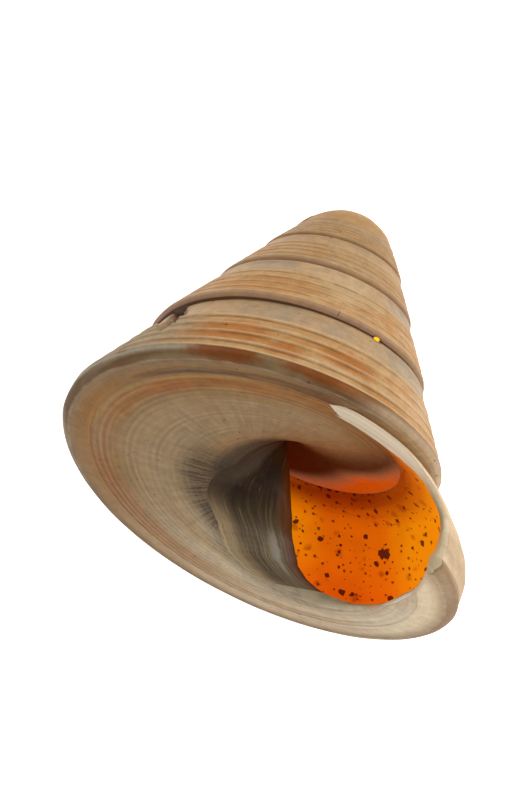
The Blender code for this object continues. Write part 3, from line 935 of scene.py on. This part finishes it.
def outside_material():
    m = Material("outside", 0.52, 0.22)
    ridge = m.mask("ridge")
    hurt = m.mask("hurt")
    patches = m.streaks(9.0, 3.2, 27.0, 3.0, 0.55, 0.4)
    keel = m.times(m.by_across(0.985, 1.005), m.by_across(1.20, 1.13))
    base = m.times(m.by_across(1.11, 1.17), m.by_across(3.1, 2.9))
    crown = m.by_across(8.0, 8.5)
    tone = m.mix(keel, flank_tone(m, ridge), keel_tone(m, patches))
    tone = m.mix(base, tone, base_tone(m))

    # Inside the mouth the base of the whorl before is its roof: painted shade, browner deeper in, then a
    # painted orange glow where light shines through the thin wall
    within = m.times(m.by_across(1.33, 1.41), m.by_across(3.1, 2.9), m.by_turn(-1.03, -1.16))
    bare = m.times(m.band(m.across, 1.15, 0.09, 0.04), m.by_turn(-0.99, -1.04), m.by_turn(-1.25, -1.2))
    tone = m.over(tone, bare, 0.75, colour(214, 186, 150))
    # Painted shade: the roof gets browner deeper in the mouth
    roof_tone = m.mix(m.by_turn(-1.08, -1.3), colour(156, 118, 72), colour(132, 86, 38))
    tone = m.over(tone, within, 0.85, roof_tone)
    # Painted glow: orange where light shines through the thin wall, with painted shade near the columella
    # and deeper in
    towards_hole = m.add(m.across, m.times(m.turn, 2.5))
    beside = m.rise(m.away(m.across, m.times(m.turn, 1.57)), 3.70, 3.46)
    painted_glow = m.times(beside, m.rise(towards_hole, -1.36, -1.60), within)
    deep_roof_shade = m.most(m.rise(towards_hole, -1.0, -1.40), m.by_turn(-1.25, -1.35))
    tone = m.over(tone, m.times(within, deep_roof_shade), 0.85, colour(92, 48, 14))
    tone = m.mix(painted_glow, tone, colour(208, 94, 4))

    # The worn crown, the sutures, the broken place and the small marks
    older = m.by_turn(-2.2, -3.6)
    tone = m.over(tone, older, 0.5, colour(176, 132, 78))
    tone = m.over(tone, crown, 0.8, colour(174, 130, 72))
    suture = m.times(m.by_across(0.022, 0.004), m.by_turn(-0.27, -0.30))
    suture = m.most(suture, m.times(m.band(m.across, SEAM, 0.004, 0.014), m.by_turn(-1.25, -1.3)))
    tone = m.over(tone, suture, 0.9, colour(78, 46, 24))
    crumb = m.noise(m.place, 3800.0, 4.0, 0.7)
    tone = m.mix(hurt, tone, m.mix(m.rise(crumb, 0.42, 0.6), colour(52, 22, 4), colour(128, 68, 22)))
    # Painted glow: small holes shining yellow with light from behind
    painted_glow_hole = m.most(*(m.spot(*half) for half in PAINTED_GLOW_HOLES))
    rim = m.most(*(m.spot(*half) for half in SPOT_RIM))
    wander = m.times(m.away(m.noise(m.place, 3000.0, 2.0), 0.5), 0.004)
    crack = m.band(m.add(m.turn, wander), CRACK_TURN, 0.0004, 0.0006)
    crack = m.times(crack, m.band(m.across, CRACK_ACROSS, 0.03, 0.03), 0.75)
    tone = m.over(tone, m.most(rim, crack), 0.9, colour(66, 40, 20))
    tone = m.mix(painted_glow_hole, tone, colour(250, 186, 10))
    specks = m.rise(m.noise(m.place, 2600.0, 1.0), 0.755, 0.78)
    tone = m.over(tone, specks, 0.6, colour(70, 44, 26))
    grain = m.noise(m.place, 1500.0, 4.0, 0.65)
    tone = m.shaded(tone, m.rise(grain, 0.3, 0.7, 0.90, 1.10))
    m.set("Base Color", tone)

    # Painted light: emission for the orange glow in the mouth and the small holes, and a faint painted
    # glow on the flank near the lip, under the keel and near its foot
    painted_glow_near_lip = m.times(m.by_turn(-0.34, -0.12), m.by_across(0.75, 0.45))
    painted_under = m.times(m.band(m.across, 1.05, 0.03, 0.02), m.by_turn(-0.97, -1.0), m.away(1.0, crown))
    painted_glow_colour = m.mix(painted_under, colour(214, 178, 132), colour(150, 112, 82))
    painted_glow_colour = m.mix(painted_glow, painted_glow_colour, colour(214, 92, 2))
    painted_glow_colour = m.mix(painted_glow_hole, painted_glow_colour, colour(255, 190, 8))
    m.set("Emission Color", painted_glow_colour)
    painted_glow_strength = m.most(m.times(painted_glow, 0.4), m.times(painted_glow_hole, 0.8))
    painted_light_near_keel = m.times(m.by_turn(-0.32, -0.14), m.band(m.across, 1.12, 0.10, 0.12))
    m.set("Emission Strength", m.most(painted_glow_strength, m.times(m.most(painted_glow_near_lip, painted_under, m.times(painted_light_near_keel, 0.9)), 0.2)))
    worn = m.rise(patches, 0.3, 0.7, 0.42, 0.58)
    m.set("Roughness", m.most(worn, m.times(hurt, 0.9), m.times(within, 0.8)))
    fine = m.streaks(7.0, 150.0, 3.0, 5.0, 0.65)
    waves = m.streaks(110.0, 3.0, 2.0, 4.0, 0.65)
    relief = m.add(m.times(fine, 0.8), m.add(m.times(grain, 0.6), m.times(waves, 0.9)))
    relief = m.add(relief, m.times(crumb, hurt, 6.0))
    m.bump(relief, 0.00009)
    return m.material


def dark_specks(m, per_turn, per_across, shift, largest, soft):
    """Ragged dots of many sizes, from cells over the inside of the shell."""
    cells = m.node(
        "ShaderNodeTexVoronoi",
        {"Vector": m.along(per_turn, per_across, shift), "Scale": 1.0},
        voronoi_dimensions="2D",
    )
    parts = m.node("ShaderNodeSeparateColor", {0: cells.outputs["Color"]})
    size = m.math("POWER", parts.outputs[0], 1.7)
    ragged = m.times(m.away(m.noise(m.place, 4200.0, 3.0), 0.5), 0.42)
    off = m.add(m.away(cells.outputs["Distance"], m.times(size, largest)), ragged)
    shown = m.rise(parts.outputs[1], 0.34, 0.36)
    return m.times(m.rise(off, soft, -soft), shown, m.rise(size, 0.01, 0.03))


def inside_material():
    m = Material("inside", 0.34, 0.4, 0.25, 0.12)
    streaks = m.streaks(5.0, 10.0, 0.0, 3.0)
    clouds = m.noise(m.place, 260.0, 3.0, 0.5)
    left = m.by_turn(-0.335, -0.385)
    right = m.by_turn(-0.282, -0.235)
    # Orange inside: partly the wall's own amber and partly painted light shining through the thin wall
    tone = m.mix(m.times(m.most(left, right), 0.9), colour(224, 112, 4), colour(238, 152, 4))
    low = m.times(m.by_across(3.50, 3.85), m.by_turn(-0.24, -0.31))
    tone = m.over(tone, low, 0.7, colour(208, 92, 4))
    # Painted shade in the crease where the roof meets the inner wall
    painted_shade_crease = m.by_across(3.34, 3.07)
    tone = m.over(tone, painted_shade_crease, 0.92, colour(118, 28, 2))
    tone = m.over(tone, m.rise(streaks, 0.45, 0.7), 0.25, colour(226, 116, 8))
    tone = m.over(tone, m.rise(clouds, 0.5, 0.7), 0.25, colour(170, 66, 4))
    sharp, small, blurred = (dark_specks(m, *kind) for kind in SPECKS)
    speck = m.most(sharp, m.spot(*STAR), m.times(small, 0.8))
    tone = m.over(tone, blurred, 0.5, colour(120, 30, 6))
    tone = m.over(tone, speck, 0.93, colour(56, 6, 6))
    m.set("Base Color", tone)
    # Painted glow deeper inside the hollow
    m.set("Emission Color", tone)
    painted_glow_deep = m.times(m.by_turn(-0.75, -0.45), m.by_across(4.6, 4.1))
    m.set("Emission Strength", m.times(painted_glow_deep, 0.52))
    m.bump(m.add(streaks, m.times(m.noise(m.place, 700.0, 3.0), 0.6)), 0.00003)
    return m.material


def columella_material():
    m = Material("columella", 0.6, 0.18, 0.06, 0.3)
    up = m.times(m.turn, TURN)
    clouds = m.noise(m.place, 520.0, 5.0, 0.65)
    streaks = m.streaks(1100.0, 24.0, 4.0, 4.0, 0.6, 0.2)
    fine = m.streaks(900.0, 90.0, 6.0, 4.0, 0.6)
    scoop = m.by_across(6.8, 6.9)
    # Dark brown ground: partly the columella's own colour and partly painted shade in its concave end
    tone = m.mix(m.rise(clouds, 0.35, 0.65), colour(34, 19, 7), colour(60, 40, 20))
    grey = m.times(m.spot(0.72 / TURN, 7.22, 0.16 / TURN, 0.14, 0.5, 0.6), scoop)
    tone = m.over(tone, grey, 0.7, colour(96, 82, 66))

    # The fan of lines that runs down from the axis to the foot of the lip
    fan = m.times(m.rise(m.away(up, m.times(m.across, 0.35)), -2.02, -2.42), scoop)
    fan_tone = m.mix(m.rise(streaks, 0.35, 0.65), colour(92, 72, 44), colour(152, 128, 86))
    tone = m.over(tone, fan, 0.75, fan_tone)
    tone = m.over(tone, m.times(m.rise(fine, 0.5, 0.66), scoop), 0.35, colour(40, 28, 16))
    tone = m.over(tone, m.times(m.rise(streaks, 0.62, 0.7), scoop), 0.5, colour(170, 152, 122))
    beside = m.times(m.by_across(7.34, 7.02), scoop)
    lower = m.mix(m.rise(fine, 0.4, 0.6), colour(206, 178, 132), colour(156, 128, 86))
    beside_tone = m.mix(m.rise(up, 0.34, 0.52), lower, colour(78, 58, 38))
    tone = m.over(tone, beside, 0.85, beside_tone)
    # Painted highlight on the hollowed end of the columella
    painted_highlight = m.times(m.spot(0.24 / TURN, 7.70, 0.11 / TURN, 0.07, 0.6, 0.8), scoop)
    tone = m.over(tone, painted_highlight, 0.7, colour(164, 152, 132))
    edge = m.most(m.by_across(7.74, 7.94), m.away(1.0, scoop))
    top = m.times(m.rise(up, 0.66, 0.95), m.by_across(7.35, 7.7))
    tone = m.over(tone, top, 0.8, colour(92, 62, 34))
    tone = m.over(tone, edge, 0.9, colour(104, 54, 12))
    m.set("Base Color", tone)
    m.bump(m.add(m.times(streaks, 1.5), m.times(clouds, 0.6)), 0.00005)
    return m.material


def lip_material():
    m = Material("lip", 0.4, 0.4, 0.1, 0.1)
    layers = m.streaks(700.0, 16.0, 8.0, 3.0, 0.6)
    clouds = m.noise(m.place, 700.0, 4.0, 0.6)
    lower = m.by_across(9.0, 9.1)
    across = m.away(m.across, m.times(lower, LOWER_LIP - LIP))
    along = m.times(m.turn, TURN)
    tone = m.mix(m.rise(layers, 0.4, 0.6), colour(254, 236, 208), colour(230, 208, 172))
    dull = m.most(lower, m.rise(along, 0.44, 0.70))
    dull_tone = m.mix(m.rise(clouds, 0.4, 0.6), colour(222, 202, 164), colour(202, 180, 140))
    tone = m.over(tone, dull, 0.85, dull_tone)
    corner = m.times(m.away(1.0, lower), m.rise(along, 0.74, 0.9))
    corner = m.most(corner, m.times(lower, m.rise(along, 0.2, 0.08)))
    # Painted shade: olive on the inner side of the lip towards the hollow
    painted_shade_inside_lip = m.times(m.rise(across, 6.35, 6.8), m.rise(dull, 0.0, 1.0, 0.35, 1.0))
    painted_shade_inside_lip = m.times(painted_shade_inside_lip, m.away(1.0, m.times(corner, 0.8)))
    tone = m.over(tone, corner, 0.8, colour(206, 184, 146))
    tone = m.over(tone, painted_shade_inside_lip, 0.75, colour(154, 134, 88))
    foot = m.times(lower, m.rise(along, 0.66, 0.95))
    foot_tone = m.mix(m.rise(clouds, 0.4, 0.6), colour(124, 102, 68), colour(150, 130, 94))
    tone = m.over(tone, foot, 0.9, foot_tone)
    pearl = m.times(lower, m.spot(0.34 / TURN, 10.2, 0.07 / TURN, 0.3, 0.4, 0.6))
    tone = m.over(tone, pearl, 0.8, colour(240, 232, 220))
    m.set("Base Color", tone)
    # Painted glow: the whole lip gives off a little light of its own colour
    m.set("Emission Color", tone)
    m.set("Emission Strength", 0.12)
    m.bump(m.add(layers, m.times(clouds, 0.6)), 0.00005)
    return m.material


# Scene
def turned_up(points):
    """The points turned so that the camera looks down the Z axis, and the turn to how the shell rests."""
    azimuth, elevation, roll = (math.radians(v) for v in (UP_AZIMUTH, UP_ELEVATION, UP_ROLL))
    level = math.cos(elevation)
    upward = Vector((level * math.cos(azimuth), level * math.sin(azimuth), math.sin(elevation)))
    right = Vector((0.0, 0.0, 1.0)).cross(upward).normalized()
    ahead = upward.cross(right)
    x_axis = math.cos(roll) * right + math.sin(roll) * ahead
    y_axis = math.cos(roll) * ahead - math.sin(roll) * right
    settle = Vector(REST_DOWN).rotation_difference(Vector((0.0, 0.0, -1.0))).to_matrix()
    return points @ np.array([x_axis, y_axis, upward]).T, np.array(settle)


def add_shell():
    surface = build_surface()
    points, settle = turned_up(np.array(surface.points))
    points = points @ settle.T * GROWTH_RADIUS + np.array(CONE_TIP)
    mesh = bpy.data.meshes.new("top_shell")
    mesh.from_pydata([tuple(p) for p in points], [], surface.faces)
    places = mesh.uv_layers.new(name="spiral")
    places.data.foreach_set("uv", np.array(surface.places, float).ravel())
    zones = ("outside", "inside", "columella", "lip")
    numbers = [zones.index(zone) for zone in surface.zones]
    mesh.polygons.foreach_set("material_index", numbers)
    masks = np.array(surface.masks)
    for k, name in enumerate(MASKS):
        layer = mesh.attributes.new(name, "FLOAT", "POINT")
        layer.data.foreach_set("value", np.ascontiguousarray(masks[:, k]))
    for material in (outside_material(), inside_material(), columella_material(), lip_material()):
        mesh.materials.append(material)
    work = bmesh.new()
    work.from_mesh(mesh)
    bmesh.ops.recalc_face_normals(work, faces=work.faces)
    work.to_mesh(mesh)
    work.free()
    mesh.shade_smooth()
    shell = bpy.data.objects.new("top_shell", mesh)
    bpy.context.scene.collection.objects.link(shell)
    return shell


def add_floor():
    mesh = bpy.data.meshes.new("floor")
    half = FLOOR_HALF
    corners = [(-half, -half, 0.0), (half, -half, 0.0), (half, half, 0.0), (-half, half, 0.0)]
    mesh.from_pydata(corners, [], [(0, 1, 2, 3)])
    material = bpy.data.materials.new("floor")
    material.use_nodes = True
    shader = material.node_tree.nodes["Principled BSDF"]
    shader.inputs["Base Color"].default_value = (0.9, 0.9, 0.9, 1.0)
    shader.inputs["Roughness"].default_value = 0.9
    shader.inputs["Specular IOR Level"].default_value = 0.0
    shader.inputs["Emission Color"].default_value = (1.0, 1.0, 1.0, 1.0)
    shader.inputs["Emission Strength"].default_value = FLOOR_GLOW
    mesh.materials.append(material)
    floor = bpy.data.objects.new("floor", mesh)
    bpy.context.scene.collection.objects.link(floor)
    floor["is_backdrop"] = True


def add_area(name, place, target, size, power):
    light = bpy.data.lights.new(name, "AREA")
    light.shape = "SQUARE"
    light.size = size
    light.energy = power
    obj = bpy.data.objects.new(name, light)
    obj.location = place
    obj.rotation_euler = (Vector(target) - Vector(place)).to_track_quat("-Z", "Y").to_euler()
    bpy.context.scene.collection.objects.link(obj)


def add_light():
    scene = bpy.context.scene
    world = bpy.data.worlds.new("studio")
    scene.world = world
    world.use_nodes = True
    background = world.node_tree.nodes["Background"]
    background.inputs["Color"].default_value = (1.0, 1.0, 1.0, 1.0)
    background.inputs["Strength"].default_value = WORLD_STRENGTH
    for light in LIGHTS:
        add_area(*light)
    scene.view_settings.view_transform = "Standard"


def add_camera():
    scene = bpy.context.scene
    views, settle = turned_up(np.array([[0.0, 0.0, -1.0]]))
    place = views[0] + np.array([-CAMERA_SHIFT[0], -CAMERA_SHIFT[1], CAMERA_DISTANCE])
    place = settle @ place * GROWTH_RADIUS + np.array(CONE_TIP)
    data = bpy.data.cameras.new("camera")
    data.sensor_fit = "AUTO"
    data.sensor_width = CAMERA_SENSOR
    data.lens = CAMERA_LENS
    data.clip_start = 0.01
    camera = bpy.data.objects.new("camera", data)
    camera.matrix_world = Matrix.Translation(Vector(place)) @ Matrix(settle.tolist()).to_4x4()
    scene.collection.objects.link(camera)
    scene.camera = camera


def main():
    shell = add_shell()
    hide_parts("shell")
    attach(shell, "root")
    add_floor()
    add_light()
    add_camera()
    bpy.context.view_layer.update()
    boxes = {"cad": CAD_BOX, "scene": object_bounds()}
    boxes = {name: [[float(v) for v in corner] for corner in box] for name, box in boxes.items()}


main()
